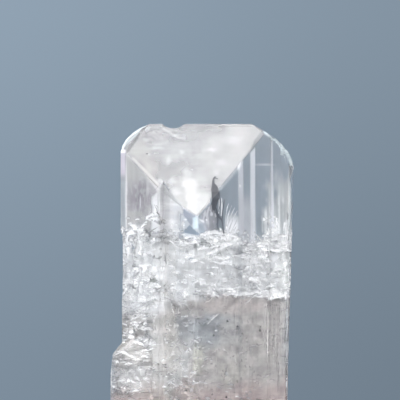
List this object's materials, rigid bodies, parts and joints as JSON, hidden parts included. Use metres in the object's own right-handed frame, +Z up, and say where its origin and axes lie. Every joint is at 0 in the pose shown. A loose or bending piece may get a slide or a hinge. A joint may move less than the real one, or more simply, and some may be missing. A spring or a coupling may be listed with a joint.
{
  "type": "danburite crystal",
  "caption": "Clear danburite crystal: an upright four-sided prism with a chisel tip, vertical striations, ragged ledges and a flat broken foot to stand on.",
  "frame": {"origin": "middle of the crystal's outline seen from above, on its flat base", "axes": "+Z up along the prism; the ridge of the tip runs along X; the side that the picture shows faces -Y"},
  "size_m": [0.0232, 0.0208, 0.05],
  "materials": {
    "crystal": "vitreous, clear with frosted and fractured zones, faint pink tint towards the foot"
  },
  "bodies": {
    "root": {"crystal": "crystal"}
  },
  "joints": []
}
